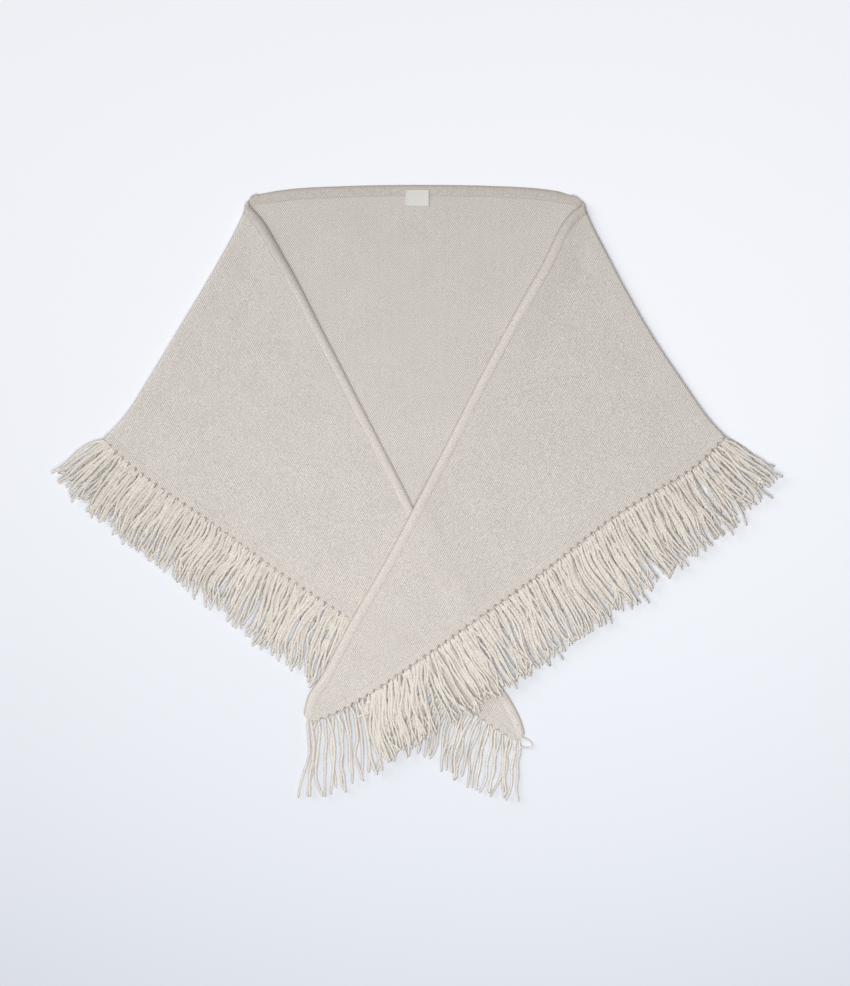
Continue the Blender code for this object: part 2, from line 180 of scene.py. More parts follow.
class ScarfColours(PropertyGroup):
    """Colours of the cloth and yarn."""

    front: tint("Front", "Face side of the knit, on the two fronts", (0.86, 0.81, 0.77))
    back: tint("Back", "Reverse side of the knit, in the middle", (0.72, 0.69, 0.665))
    band: tint("Band", "Neck band down the fronts", (0.64, 0.595, 0.56))
    # back_band: darker band tone, a painted shade for the shade that falls at the top of the scarf
    back_band: tint("Back band", "Neck band behind the neck", (0.53, 0.49, 0.453))
    # hollow: colour of the painted shade in the hollows between the stitches
    hollow: tint("Hollow", "Between the stitches", (0.45, 0.40, 0.35))
    yarn: tint("Yarn", "Fringe", (0.735, 0.688, 0.637))
    # ply: heathered tone, and a faint painted shade along the groove between the plies
    ply: tint("Ply", "Between the two plies of a strand", (0.63, 0.57, 0.495))
    # knot: colour of the painted shade in the notches between the knots, and along a band's free border
    knot: tint("Knot", "In the hollow between two knots", (0.42, 0.33, 0.25))
    tape: tint("Tape", "Neck label", (0.70, 0.685, 0.64))


class ScarfStage(PropertyGroup):
    """Floor, lights and camera."""

    # painted shade and light: far, near, the slope and the margin paint the floor darker where the lamps
    # light it more
    far: tint("Far floor", "Floor beyond the neck", (0.905, 0.91, 0.95))
    near: tint("Near floor", "Floor before the fringe", (0.575, 0.605, 0.643))
    painted_light_slope: share("Evening", "Rise in the floor's paleness rightwards, per metre", 0.12)
    margin: share("Margin", "Rise in its paleness at a metre to either side", 0.22)
    ambient: share("Ambient", "Brightness all round", 0.195)
    key: number("Key", "Power of the light from the upper left", 125, unit="POWER")
    top: number("Top", "Power of the light beside the camera", 18, unit="POWER")
    fill: number("Fill", "Power of the light over the fringe", 13.6, unit="POWER")
    lens: number("Lens", "Focal length in millimetres", 85, unit="CAMERA")


GROUPS = {"scarf_cloth": ScarfCloth, "scarf_yarn": ScarfYarn, "scarf_colours": ScarfColours,
          "scarf_stage": ScarfStage}


# Plan and heights

def ease(value):
    """Smooth step from 0 to 1."""
    value = np.clip(value, 0, 1)
    return value * value * (3 - 2 * value)


def unit(way):
    """Directions of length 1."""
    return way / np.maximum(np.linalg.norm(way, axis=-1, keepdims=True), 1e-12)


def pair(first, second):
    """Two arrays of numbers as one array of pairs."""
    return np.stack(np.broadcast_arrays(first, second), axis=-1)


def aimed(turn):
    """Plan directions at angles from +X."""
    return pair(np.cos(turn), np.sin(turn))


def square_to(way):
    """The direction a quarter turn to the left of a plan direction."""
    return pair(-way[..., 1], way[..., 0])


def at_height(plan, height):
    """Points in space from plan points and their height."""
    return np.concatenate([plan, np.broadcast_to(height, plan.shape[:-1])[..., None]], axis=-1)


def walked(path, axis=0):
    """Distance walked to each point of a path."""
    steps = np.linalg.norm(np.diff(path, axis=axis), axis=-1)
    return np.cumsum(np.insert(steps, 0, 0, axis=axis), axis=axis)


class Line:
    """A smooth line in plan through a short table of points, read by its share of the length.

    Between two points of the table it is a cubic that takes its slope at each of them from the
    points on either side. Its hand is the side that distances from it count on: 1 its left, -1 its
    right.
    """

    def __init__(self, table, hand=1, samples=700):
        knots = np.array(table, dtype=float) * MM
        reach = walked(knots)
        slopes = np.gradient(knots, reach, axis=0)
        at = np.linspace(0, reach[-1], samples)
        first = np.clip(np.searchsorted(reach, at, side="right") - 1, 0, len(knots) - 2)
        span = np.diff(reach)[first][:, None]
        t = (at - reach[first])[:, None] / span
        self.points = ((2 * t ** 3 - 3 * t ** 2 + 1) * knots[first]
                       + (t ** 3 - 2 * t ** 2 + t) * span * slopes[first]
                       + (3 * t ** 2 - 2 * t ** 3) * knots[first + 1]
                       + (t ** 3 - t ** 2) * span * slopes[first + 1])
        self.hand = hand
        self.walked = walked(self.points)
        self.length = self.walked[-1]
        self.headings = unit(np.gradient(self.points, axis=0))

    def read(self, values, share):
        """Values between the samples, at shares of the length."""
        at = np.asarray(share) * self.length
        return pair(*(np.interp(at, self.walked, column) for column in values.T))

    def at(self, share):
        return self.read(self.points, share)

    def heading(self, share):
        return unit(self.read(self.headings, share))

    def across(self, share):
        """Directions square to the line, towards its hand."""
        return self.hand * square_to(self.heading(share))

    def coordinates(self, plan):
        """Distances of plan points along the line and past it, from the line's nearest sample."""
        square = (self.points ** 2).sum(axis=1)
        nearest = np.argmin(square - 2 * plan @ self.points.T, axis=-1)
        away = plan - self.points[nearest]
        heading = self.headings[nearest]
        along = self.walked[nearest] + (away * heading).sum(axis=-1)
        return along, self.hand * (away * square_to(heading)).sum(axis=-1)

    def beyond(self, plan):
        """Distance of plan points past the line, on its hand."""
        return self.coordinates(plan)[1]


class Side:
    """The plan lines of one half of the scarf, and how its fold starts.

    The cloth lies past the neck line and short of the hem's. At the neck it turns back along a plan
    direction, and rounds out beside it by the shoulder.
    """

    def __init__(self, key, hand, neck, hem, fold, turn_at_neck, shoulder, phase):
        self.key = key
        self.hand = hand
        self.neck, self.hem, self.fold, self.back_hem = (
            Line(table, hand) for table in (neck, hem, fold, (hem[0], APEX)))
        self.turns = (np.array(turn_at_neck), self.back_hem.heading(0))
        self.shoulder = shoulder * MM
        self.phase = phase
        self.wales_cross = unit(self.neck.at(0.75) - self.neck.at(0.1))

    def turning(self, down):
        """Plan directions in which the cloth turns back, at shares down its fold."""
        return unit((1 - down) * self.turns[0] + down * self.turns[1])


LEFT = Side("left", -1, LEFT_NECK, LEFT_HEM, LEFT_FOLD, (0.74, 0.67), 2.9, 2.1)
RIGHT = Side("right", 1, RIGHT_NECK, RIGHT_HEM, RIGHT_FOLD, (-0.79, 0.61), 1.7, 4.4)
TOP = Line(TOP_EDGE, -1)


class Lay:
    """Heights at which one half's layers lie, worked out from what is below each place."""

    fringe_reach = 98 * MM      # how far a fringe below holds up what lies over it
    fringe_rise = 8 * MM        # width over which the cloth climbs from a hem to its fringe

    def __init__(self, scene, side, on_floor=False):
        self.side = side
        self.cloth = scene.scarf_cloth
        self.yarn = scene.scarf_yarn
        self.layer = self.cloth.knit + self.cloth.gap
        self.fringe = self.yarn.thick * STRAND_PRESS + self.cloth.gap
        self.on_floor = on_floor

    def under(self, plan):
        """Height of this half's underside where it lies flat."""
        if self.on_floor:
            return np.zeros(plan.shape[:-1])
        return self.left(plan) if self.side is LEFT else self.right(plan)

    def fade(self, distance):
        """1 up to an edge, easing to 0 over the width of the drape past it."""
        return 1 - ease(distance / self.cloth.drape)

    def fringed(self, past_hem):
        """Height of a layer and of the fringe that carries on past its hem."""
        rise = (self.fringe - self.layer) * ease(past_hem / self.fringe_rise)
        return (self.layer + rise) * self.fade(past_hem - self.fringe_reach)

    def left(self, plan):
        """Height of the left front's underside, over the back and its fringe."""
        return self.fringed(np.maximum(LEFT.back_hem.beyond(plan), RIGHT.back_hem.beyond(plan)))

    def right(self, plan):
        """Height of the right front's underside, over the back and the left front."""
        past_neck, past_hem = -LEFT.neck.beyond(plan), LEFT.hem.beyond(plan)
        near_band, near_hem = (1 - ease(np.abs(past) / self.cloth.halo - 1) for past in (past_neck, past_hem))
        proud = np.maximum((self.cloth.band - self.cloth.knit) * near_band, self.cloth.hem_rise * near_hem)
        return self.left(plan) + self.fade(past_neck) * (self.fringed(past_hem) + proud)

    def curl(self, shares, aside):
        """Height of the soft roll that stands up beside a neck edge, most of all near the shoulder."""
        first, last = CURL_SHARES
        down = ease(shares / FOLD_EASE) * (1 - ease((shares - first) / (last - first)))
        rolled = ease(aside / self.cloth.band_width + 0.15) * (1 - ease(aside / self.cloth.curl_width))
        return self.cloth.curl * down * rolled

    def lifted(self, plan, shares, aside):
        """Height of a front's underside, lifted near its fold, at distances from its neck edge."""
        flat = self.under(plan)
        lift = (self.cloth.fold_lift - flat) * (1 - ease(shares / FOLD_EASE))
        return flat + lift + self.curl(shares, aside)


RIPPLES = ((0.105, 20, 0.0), (0.071, 104, 1.7), (0.046, 63, 3.9))   # metres, degrees from +X, start


def ripple(plan, height, phase):
    """Soft unevenness of laid cloth: crossing waves of unlike length, never below zero."""
    waves = [np.sin(tau * plan @ aimed(radians(degrees)) / length + start + phase)
             for length, degrees, start in RIPPLES]
    return height * (sum(waves) / len(RIPPLES) + 1) / 2


# Meshes

def add_mesh(name, points, faces, maps, finish):
    """A smooth mesh object from arrays: points, blocks of faces with equal corners, and UV maps by point."""
    mesh = bpy.data.meshes.new(name)
    corners = np.concatenate([block.ravel() for block in faces]).astype(np.int32)
    sizes = np.concatenate([np.full(len(block), block.shape[1]) for block in faces])
    mesh.vertices.add(points.size // 3)
    mesh.vertices.foreach_set("co", points.astype(np.float32).ravel())
    mesh.loops.add(len(corners))
    mesh.loops.foreach_set("vertex_index", corners)
    mesh.polygons.add(len(sizes))
    mesh.polygons.foreach_set("loop_start", (np.cumsum(sizes) - sizes).astype(np.int32))
    mesh.update(calc_edges=True)
    if mesh.validate():
        raise RuntimeError(f"{name} has faces that can't be")
    for key, values in maps.items():
        by_corner = values.reshape(-1, 2)[corners]
        mesh.uv_layers.new(name=key).uv.foreach_set("vector", by_corner.astype(np.float32).ravel())
    mesh.materials.append(finish_of(finish))
    mesh.shade_smooth()
    made = bpy.data.objects.new(name, mesh)
    bpy.context.scene.collection.objects.link(made)
    return made


def add_piece(name, points, faces, maps, finish, *nodes):
    """A mesh that rides with the scarf, takes its finish by name, and hides the CAD nodes it stands for."""
    piece = add_mesh(name, points, faces, maps, finish)
    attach(piece, "root")
    if nodes:
        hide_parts(*nodes)
    return piece


def shell(name, inner, thickness, maps, finish, node):
    """A closed wall of cloth: the inner grid, and an outer grid moved out along its normals.

    A normal is the cross product of the grid's steps along columns and along rows. The wall's
    shading is parted from its rim's, along the edges between two points of the border.
    """
    columns, rows = inner.shape[:2]
    normals = unit(np.cross(np.gradient(inner, axis=0), np.gradient(inner, axis=1)))
    up = np.sign(normals[columns // 2, rows // 2, 2])
    outer = inner + normals * up * np.broadcast_to(thickness, (columns, rows))[..., None]
    count = columns * rows
    grid = np.arange(count).reshape(columns, rows)
    faces = np.stack([grid[:-1, :-1], grid[1:, :-1], grid[1:, 1:], grid[:-1, 1:]], axis=-1).reshape(-1, 4)
    rim = np.concatenate([grid[:-1, 0], grid[-1, :-1], grid[:0:-1, -1], grid[0, :0:-1]])
    onward = np.roll(rim, -1)
    sides = np.stack([onward, rim, rim + count, onward + count], axis=1)
    faces = np.concatenate([faces, faces[:, ::-1] + count, sides])
    if up < 0:
        faces = faces[:, ::-1]
    doubled = {key: np.stack([values, values]) for key, values in maps.items()}
    piece = add_piece(name, np.stack([outer, inner]), [faces], doubled, finish, node)
    border = np.isin(np.arange(2 * count) % count, rim)
    ends = np.empty(len(piece.data.edges) * 2, dtype=np.int32)
    piece.data.edges.foreach_get("vertices", ends)
    sharp = border[ends.reshape(-1, 2)].all(axis=1)
    piece.data.attributes.new("sharp_edge", "BOOLEAN", "EDGE").data.foreach_set("value", sharp)
    return piece, inner, outer


def tubes(name, lines, radius, lobes, twist, sides, finish, chance=0.5, press=1.0, nodes=()):
    """Closed tubes round middle lines, strands by points.

    The section is a circle whose radius swells by the share lobes twice in each turn, and it
    turns along the strand once for every length of twist, as two plies do. It is pressed to a
    share of its height. The map "ply" holds the way round and the length walked, and "strand" each
    strand's chance and its share walked.
    """
    strands, steps = lines.shape[:2]
    way = unit(np.gradient(lines, axis=1))
    aside = unit(np.cross(UP, way))
    above = np.cross(way, aside)
    run = walked(lines, 1)
    around = np.arange(sides) / sides
    turn = tau * (around + run[..., None] / twist)
    out = radius[..., None] * (1 + lobes * np.cos(2 * tau * around))
    ring = (lines[:, :, None] + (out * np.cos(turn))[..., None] * aside[:, :, None]
            + (press * out * np.sin(turn))[..., None] * above[:, :, None])
    points = np.concatenate([ring.reshape(strands, -1, 3), lines[:, [0, -1]]], axis=1)
    here = np.arange(steps * sides).reshape(steps, sides)
    beside = np.roll(here, -1, axis=1)
    quads = np.stack([here[:-1], beside[:-1], beside[1:], here[1:]], axis=-1).reshape(-1, 4)
    end = np.full(sides, here.size)
    caps = np.concatenate([np.stack([beside[0], here[0], end], axis=1),
                           np.stack([here[-1], beside[-1], end + 1], axis=1)])
    offsets = (np.arange(strands) * points.shape[1])[:, None, None]
    length = np.concatenate([np.repeat(run, sides, axis=1), run[:, [0, -1]]], axis=1)
    maps = {"ply": pair(np.append(np.tile(around, steps), [0.5, 0.5]), length),
            "strand": pair(np.reshape(chance, (-1, 1)), length / run[:, -1:])}
    faces = [(quads + offsets).reshape(-1, 4), (caps + offsets).reshape(-1, 3)]
    return add_piece(name, points, faces, maps, finish, *nodes)


def stitches(name, path, step, long, thick, slant, finish):
    """A row of short stitches along a path: spindles that lean by the slant, half sunk in the cloth."""
    run = walked(path)
    at = np.arange(step / 2, run[-1], step)
    points, ways = (np.stack([np.interp(at, run, column) for column in values.T], axis=1)
                    for values in (path, unit(np.gradient(path, axis=0))))
    lean = np.cos(slant) * unit(ways) + np.sin(slant) * unit(np.cross(UP, ways))
    reach = np.linspace(-1, 1, 5)
    taper = 1 - reach ** 2
    lines = points[:, None] + lean[:, None] * reach[:, None] * long / 2 + UP * (thick * 0.3 * taper)[:, None]
    radius = np.broadcast_to(thick / 2 * np.sqrt(np.maximum(taper, 0.04)), lines.shape[:2])
    return tubes(name, lines, radius, 0.0, 1.0, 5, finish)


# Materials

class Weave:
    """Adds nodes to one material: a number, a colour or a socket may stand for each of their inputs."""

    def __init__(self, name):
        self.material = bpy.data.materials.new(name)
        self.material.use_nodes = True
        self.tree = self.material.node_tree
        self.shader = self.tree.nodes["Principled BSDF"]

    def put(self, kind, inputs=(), output=0, **settings):
        node = self.tree.nodes.new(kind)
        for key, value in settings.items():
            setattr(node, key, value)
        for key, value in dict(inputs).items():
            self.give(node.inputs[key], value)
        return node.outputs[output]

    def give(self, socket, value):
        if isinstance(value, bpy.types.NodeSocket):
            self.tree.links.new(value, socket)
        else:
            socket.default_value = value

    def sum(self, operation, *values):
        return self.put("ShaderNodeMath", dict(enumerate(values)), operation=operation)

    def scale(self, value, factor, more=0.0):
        """A value times a factor, and more added."""
        return self.sum("MULTIPLY_ADD", value, factor, more)

    def wave(self, value, turns=1.0):
        """Sine of so many turns of a value."""
        return self.sum("SINE", self.scale(value, turns * tau))

    def place(self):
        """The point on the object that is being shaded."""
        return self.put("ShaderNodeTexCoord", output="Object")

    def map(self, name, *scale):
        """Two coordinates of a UV map, each divided by its scale."""
        uv = self.put("ShaderNodeUVMap", uv_map=name)
        return [self.sum("DIVIDE", part, value) for part, value in zip(self.parts(uv), scale)]

    def parts(self, vector):
        return self.put("ShaderNodeSeparateXYZ", {0: vector}).node.outputs

    def noise(self, scale, detail=2, seed=0.0):
        moved = self.put("ShaderNodeMapping", {0: self.place(), 1: (seed, seed, seed)})
        return self.put("ShaderNodeTexNoise", {"Vector": moved, "Scale": scale, "Detail": detail})

    def mix(self, share, first, second, blend="MIX"):
        """A colour between two, by a share, or the first blended with the second in another way."""
        return self.put("ShaderNodeMix", {0: share, 6: first, 7: second}, 2, data_type="RGBA",
                        blend_type=blend)

    def tone(self, colour, level):
        """A colour made paler or darker by a level."""
        grey = self.put("ShaderNodeCombineColor", {0: level, 1: level, 2: level})
        return self.mix(1.0, colour, grey, "MULTIPLY")

    def ramp(self, value, low, high):
        """0 below low, 1 above high, and a smooth step between."""
        return self.put("ShaderNodeMapRange", {0: value, 1: low, 2: high}, interpolation_type="SMOOTHSTEP")

    def dress(self, colour, roughness, height, depth, sheen):
        """Give the shader its colour, its values and the bump of a height."""
        self.give(self.shader.inputs["Base Color"], colour)
        for key, value in (("Roughness", roughness), ("Specular IOR Level", 0.15), ("Sheen Weight", sheen),
                           ("Sheen Roughness", 0.6)):
            self.shader.inputs[key].default_value = value
        bump = self.put("ShaderNodeBump", {"Height": height, "Distance": depth, "Strength": 1.0})
        self.give(self.shader.inputs["Normal"], bump)


def rgba(colour, factor=1.0):
    return (*[part * factor for part in colour], 1)


# painted shade: the band takes the darker back band tone towards the neck
PAINTED_NECK_SHADE = (200 * MM, 310 * MM)    # from where to where up the scarf its band takes the darker tone
# painted shade along a band's free border:
PAINTED_BORDER_SHADE = (2.3, 0.4)                 # millimetres inside a band's free border between which it darkens


def plain_stitch(weave, cloth):
    """Height of stocking stitch: each wale is two legs that rise outwards, one pair for each course."""
    across, along = weave.map("knit", cloth.wale, cloth.course)
    leg = weave.scale(weave.sum("PINGPONG", across, 0.5), 2)
    bead = weave.sum("POWER", weave.wave(weave.sum("FRACT", weave.scale(leg, 0.62, along)), 0.5), 0.7)
    return weave.scale(bead, weave.scale(weave.wave(leg, 0.5), 0.7, 0.3))


def purl_stitch(weave, cloth):
    """Height of the reverse side: low bumps, each row set off by half a wale from the last."""
    across, along = weave.map("knit", 1.03 * cloth.wale, 1.71 * cloth.course)
    return weave.scale(weave.scale(weave.wave(across), weave.wave(along)), 0.5, 0.5)


def rib_stitch(weave, cloth):
    """Height of the band: one rib for each wale across it, crossed faintly by its rows."""
    across, along = weave.map("knit", cloth.wale, cloth.course)
    rib = weave.sum("POWER", weave.sum("ABSOLUTE", weave.wave(across, 0.5)), 0.7)
    return weave.scale(rib, weave.scale(weave.wave(weave.scale(across, 0.5, along)), 0.2, 0.8))


def knit_nodes(weave, scene, stitch, tone, spots=False, band=False):
    """Fine knit: stitch relief with painted shade in its hollows, heathered fibre, and painted shade in the
    notches between the knots.

    A band's relief and its painted hollow shade are fainter. It is darker behind the neck, a painted shade
    for the shade at the top of the scarf, and painted shade darkens it along its free border.
    """
    cloth, colours = scene.scarf_cloth, scene.scarf_colours
    height = stitch(weave, cloth)
    fibre = weave.noise(900)
    face, dim = (rgba(getattr(colours, tone), factor) for factor in (1.0, 0.96))
    if band:
        # painted shade: the band darkens up towards the neck
        behind = weave.ramp(weave.parts(weave.place())[1], *PAINTED_NECK_SHADE)
        face = dim = weave.mix(behind, face, rgba(colours.back_band))
    pale = weave.mix(weave.ramp(weave.noise(24, 3, 4.0), 0.3, 0.7), dim, face)
    depth = cloth.rib_share if band else 1.0
    share = weave.scale(weave.ramp(height, 0.1, 0.9), depth, 1 - depth)
    # painted shade: the low parts of the stitch relief take the darker hollow colour
    colour = weave.mix(share, rgba(colours.hollow), pale)
    colour = weave.tone(colour, weave.scale(fibre, cloth.heather, 1 - 0.5 * cloth.heather))
    if spots:
        # painted shade: dark spots in the hem's notches between two knots
        knots, inside = weave.map("hem", 1.0, 1.7 * cloth.notch)
        near = weave.scale(weave.sum("PINGPONG", knots, 0.5), 3.9)
        painted_notch_shade = weave.ramp(weave.scale(near, near, weave.scale(inside, inside)), 2.0, 0.4)
        colour = weave.mix(weave.scale(painted_notch_shade, 0.85), colour, rgba(colours.knot))
    if band:
        # painted shade: the band darkens within a few millimetres of its free border
        near = weave.ramp(weave.map("knit", 1.0, MM)[1], *PAINTED_BORDER_SHADE)
        colour = weave.mix(weave.scale(near, cloth.shade), colour, rgba(colours.knot, 0.75))
    weave.dress(colour, 0.92, weave.scale(fibre, 0.5, height), cloth.relief * depth, 0.2)


def yarn_nodes(weave, scene):
    """Two-ply yarn: soft slanting fibres, heathered tone with a faint painted shade line between the plies,
    and each strand its own tone.
    """
    colours = scene.scarf_colours
    around, along = weave.map("ply", 1.0, scene.scarf_yarn.twist)
    chance, _ = weave.map("strand", 1.0, 1.0)
    # painted shade: a faint darker line along the groove between the two plies
    painted_ply_groove = weave.wave(weave.scale(around, 2, 0.25))
    fibre = weave.wave(weave.scale(along, 7, weave.scale(around, 4)))
    heather = weave.noise(500, 2, 2.0)
    share = weave.ramp(weave.scale(painted_ply_groove, 0.06, heather), 0.2, 0.75)
    colour = weave.mix(share, rgba(colours.ply), rgba(colours.yarn))
    colour = weave.tone(colour, weave.scale(chance, 0.10, 0.9))
    weave.dress(colour, 0.9, weave.scale(fibre, 0.15, heather), 0.15 * MM, 0.3)


def tape_nodes(weave, scene):
    """Woven tape: fine crossed threads on Object coordinates, a little darker in the pits between them, a
    painted shade.
    """
    tape = scene.scarf_colours.tape
    threads = [weave.wave(weave.sum("DIVIDE", part, step)) for part, step in
               zip(weave.parts(weave.place()), (0.55 * MM, 0.42 * MM))]
    # painted shade: the pits between the threads take a darker tape colour
    height = weave.scale(weave.scale(*threads), 0.5, 0.5)
    weave.dress(weave.mix(height, rgba(tape, 0.9), rgba(tape)), 0.7, height, 0.08 * MM, 0.1)


def floor_nodes(weave, scene):
    """Pale floor painted darker towards the viewer and paler to either side and to the right: painted shade
    and light that even out the lamps' pools of light, leaving it a little greyer towards the viewer.
    """
    stage = scene.scarf_stage
    x, y, _ = weave.parts(weave.place())
    # painted shade and light: the floor's colour evens out the lamps' pools of light
    bow = weave.scale(weave.scale(x, x), stage.margin, 1.0)
    share = weave.put("ShaderNodeMapRange", {0: y, 1: -0.55, 2: 0.55})
    colour = weave.mix(share, rgba(stage.near), rgba(stage.far))
    weave.give(weave.shader.inputs["Base Color"], weave.tone(colour, weave.scale(x, stage.painted_light_slope, bow)))
    weave.shader.inputs["Roughness"].default_value = 0.9
    weave.shader.inputs["Specular IOR Level"].default_value = 0.0


FINISHES = {    # the slot of each kind of surface, and what lays its nodes
    "face side": ("front_knit", knit_nodes, plain_stitch, "front"),
    "face side at hem": ("front_knit", knit_nodes, plain_stitch, "front", True),
    "reverse side": ("back_knit", knit_nodes, purl_stitch, "back"),
    "ribbed band": ("band_knit", knit_nodes, rib_stitch, "band", False, True),
    "two-ply yarn": ("fringe_yarn", yarn_nodes),
    "woven tape": ("label_tape", tape_nodes),
    "floor": (None, floor_nodes),
}


def finish_of(name):
    """The material for a kind of surface, made when it is first asked for."""
    if name not in bpy.data.materials:
        _, lay_nodes, *how = FINISHES[name]
        lay_nodes(Weave(name), bpy.context.scene, *how)
    return bpy.data.materials[name]


def declare(piece, inner, held, *with_pieces):
    """Work out the flat area of a piece's inner grid; the area is not kept, and the piece is not marked in
    any way.
    """
    down, over = inner[1:, :-1] - inner[:-1, :-1], inner[:-1, 1:] - inner[:-1, :-1]
    area = np.linalg.norm(np.cross(down, over), axis=-1).sum()


# Fronts

def into_cloth(side, shares):
    """Plan step into the cloth for each unit of width, along the fold at first and then square."""
    square = side.neck.across(shares)
    blend = ease(shares / FOLD_EASE)[:, None]
    way = unit((1 - blend) * side.fold.heading(0) + blend * square)
    return way / (way * square).sum(axis=-1, keepdims=True)


def seam_line(side, shares, cloth):
    """Plan points where a front's knit meets its band."""
    return side.neck.at(shares) + cloth.band_width * into_cloth(side, shares)


def widths(side, shares, cloth):
    """Width of a front past its band, and the share of it that its hem takes."""
    wide = np.linalg.norm(side.hem.at(shares) - seam_line(side, shares, cloth), axis=-1)[:, None]
    return wide, np.minimum(cloth.hem_width / wide, 0.45)


def front_shares(side, step):
    """Shares along a front's neck line a step apart, from the fold to where its knit closes on its band."""
    even = np.linspace(FIRST_SHARE, FRONT_END, int(side.neck.length * FRONT_END / step))
    return np.concatenate([[0], even, np.full(len(CLOSING), FRONT_END)])


def across_front(side, shares, cloth, rows):
    """Plan points of a front, columns by rows, bowed near the fold and closed on the band at the tip."""
    near = seam_line(side, shares, cloth)
    plan = near[:, None] + (side.hem.at(shares) - near)[:, None] * rows[..., None]
    first = np.linalg.norm(near[0] - side.fold.at(0)) / side.fold.length
    bow = side.fold.at(first + (1 - first) * rows[0]) - plan[0]
    plan = plan + bow * ((1 - shares) ** 3)[:, None, None]
    border = seam_line(side, FRONT_END + (1 - FRONT_END) * rows[-1], cloth)
    last = len(shares) - len(CLOSING)
    plan[last:] += (border - plan[last - 1]) * np.reshape(CLOSING, (-1, 1, 1))
    return plan


def laid(lay, plan, shares, thick, lift=0.0, shoulder=None):
    """Inner points of a front's piece, and its stitch coordinates in metres.

    The first columns are the return that lies under the fold, then a half turn about the fold's
    line, and then the upper layer at the height that it is held up to. A band's coordinates run
    along the neck edge and away from it, and the knit's along the edge's straight part and square
    to it. They are carried on round the fold.
    """
    side = lay.side
    along, aside = side.neck.coordinates(plan)
    chart = pair(along, aside)
    if shoulder is None:
        shoulder = 0.0
        chart = pair(plan @ side.wales_cross, side.hand * (plan @ square_to(side.wales_cross)))
    edge = plan[0]
    back = side.turning(np.linalg.norm(edge - side.fold.at(0), axis=-1)[:, None] / side.fold.length)
    rounding = -side.hand * square_to(back) * np.reshape(shoulder, (-1, 1))
    radius = (lay.cloth.fold_lift - thick) / 2
    reach = thick + radius
    part = np.reshape(RETURN_STEPS, (-1, 1, 1))
    way_back = reach + (lay.cloth.turn_under - reach) * part
    under = edge + back * way_back + rounding * np.interp(part, *ROUNDING)
    turn = np.radians(ARC_DEGREES).reshape(-1, 1, 1)
    risen = (1 + np.sin(turn)) / 2
    way = unit((1 - risen) * back + risen * unit(plan[1] - edge))
    arc = edge + way * (thick + radius * (1 - np.cos(turn))) + rounding * ROUNDING[1][0] * (1 - risen)
    upper = lay.lifted(plan[1:], shares[1:, None], aside[1:]) + lift
    points = np.concatenate([at_height(under, thick), at_height(arc, thick + 2 * radius * risen[..., 0]),
                             at_height(plan[1:], upper)])
    middle = radius + thick / 2
    runs = np.concatenate([pi * middle + way_back - 2 * reach, (pi / 2 - turn) * middle - reach])
    rolled = chart[0] - unit(chart[1] - chart[0]) * runs
    return points, np.concatenate([rolled, chart[1:]])


def with_turn(values):
    """Values by column of a front's plan, with its first one carried on over the turned columns."""
    return np.concatenate([np.repeat(values[:1], TURNED, axis=0), values[1:]])


def front_knit(lay):
    """The plain knit of a front, from its band's seam to its hem's seam."""
    side, cloth = lay.side, lay.cloth
    shares = front_shares(side, cloth.grain)
    wide, hem = widths(side, shares, cloth)
    widest = np.linalg.norm(side.hem.at(0) - side.neck.at(0))
    rows = np.linspace(0, 1, int(widest / cloth.grain)) * (1 - hem)
    plan = across_front(side, shares, cloth, rows)
    inside = np.minimum(rows, 1 - hem - rows) * wide
    level = ease(inside / LEVEL) * ease(shares / FOLD_EASE)[:, None]
    uneven = ripple(plan, cloth.ripple, side.phase) * level
    inner, stitch = laid(lay, plan, shares, cloth.knit, uneven[1:])
    return shell(side.key + "_front_knit", inner, cloth.knit, {"knit": stitch}, "face side",
                 side.key + "_front")


BAND_WIDTHS = np.array([0, 0.04, 0.12, 0.24, 0.38, 0.55, 0.8, 0.93, 1.0])
BAND_CORNER = 0.6               # radius of a front band's corner at the tip, as a share of its width


def band_wall(stitch, cloth):
    """Thickness of a band: rounded off at its free border, a little lower at its seam, less its furrows."""
    ribs = 0.5 + 0.5 * np.cos(tau * stitch[..., 0] / cloth.wale)
    free = 0.2 + 0.8 * ease(BAND_WIDTHS / 0.42) ** 0.6
    seam = 1 - (1 - cloth.knit / cloth.band) * ease((BAND_WIDTHS - 0.78) / 0.22)
    furrows = cloth.rib * (1 - ribs) * ease(BAND_WIDTHS / 0.1) * ease((1.1 - BAND_WIDTHS) / 0.2)
    return cloth.band * free * seam - furrows


def front_band(lay):
    """The doubled band down a front's neck edge, with one rib for each wale and a rounded border."""
    side, cloth = lay.side, lay.cloth
    shares = np.append(0, np.linspace(FIRST_SHARE, 1, int(side.neck.length / cloth.wale * FINE)))
    radius = BAND_CORNER * cloth.band_width
    inside = np.clip(radius - (1 - shares) * side.neck.length, 0, radius)
    corner = (radius - np.sqrt(radius ** 2 - inside ** 2))[:, None]
    wide = corner + BAND_WIDTHS * (cloth.band_width - corner)
    plan = side.neck.at(shares)[:, None] + into_cloth(side, shares)[:, None] * wide[..., None]
    inner, stitch = laid(lay, plan, shares, cloth.band, shoulder=side.shoulder * (1 - BAND_WIDTHS))
    return shell(side.key + "_front_neck_band", inner, band_wall(stitch, cloth), {"knit": stitch},
                 "ribbed band", side.key + "_front_band")


HEM_ENDS = 0.002                # share of a hem at either end that has no knots
HEM_ROWS = np.array([0, 0.04, 0.1, 0.2, 0.35, 0.5, 0.64, 0.76, 0.86, 0.94, 0.98, 1.0])
HEM_FINE = 11                   # columns of a hem from one knot to the next


def knot_count(line, yarn):
    """How many knots a hem has."""
    return round((1 - 2 * HEM_ENDS) * line.length / yarn.pitch)


